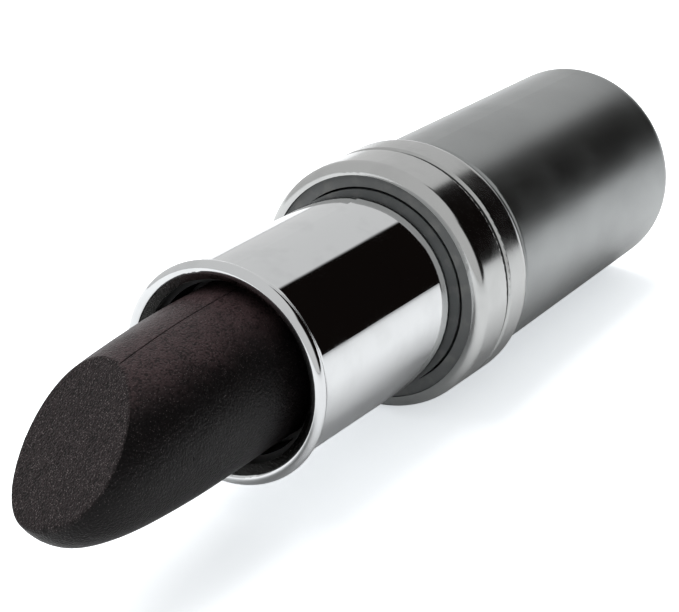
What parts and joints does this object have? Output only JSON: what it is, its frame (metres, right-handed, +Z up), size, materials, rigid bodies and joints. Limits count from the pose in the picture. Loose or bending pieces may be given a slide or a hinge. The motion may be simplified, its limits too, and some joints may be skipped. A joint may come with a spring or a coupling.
{
  "type": "lipstick case",
  "caption": "Open lipstick case with a slanted bullet raised from a chrome twist-up tube, a ringed collar and a satin base, lying on its side.",
  "frame": {"origin": "on the surface that the case lies on, under the middle of its length", "axes": "+X along the case from the bullet to the base, +Y across it, +Z up; the case's own axis points to -X and is raised 2.26 degrees at the bullet"},
  "size_m": [0.076, 0.0196, 0.0198],
  "materials": {
    "lip_colour": "matte wax with a fine pearl",
    "chrome": "polished",
    "satin_metal": "satin pewter lacquer",
    "black_plastic": "moulded",
    "brake_rubber": "matte",
    "steel": "as turned",
    "disc_plastic": "matte"
  },
  "bodies": {
    "base": {"base_shell": "satin_metal", "base_liner": "black_plastic", "weight": "steel", "bottom_disc": "disc_plastic", "rear_ring": "chrome", "front_ring": "chrome", "brake_ring": "brake_rubber", "guide_tube": "black_plastic"},
    "sleeve": {"chrome_tube": "chrome", "mouth_ring": "chrome", "spiral_sleeve": "black_plastic"},
    "carrier": {"carrier_cup": "black_plastic", "bullet": "lip_colour"}
  },
  "joints": [
    {"name": "carrier_rise", "type": "slide", "parent": "base", "child": "carrier", "axis": [-0.9992, 0, 0.0394], "range_m": [-0.0216, 0]},
    {"name": "sleeve_twist", "type": "hinge", "parent": "base", "child": "sleeve", "pos_m": [0.0024, 0, 0.01005], "axis": [-0.9992, 0, 0.0394], "range_deg": [0, 432]}
  ],
  "couplings": [
    {"joint": "sleeve_twist", "follows": "carrier_rise", "rad_per_m": -349.07}
  ]
}
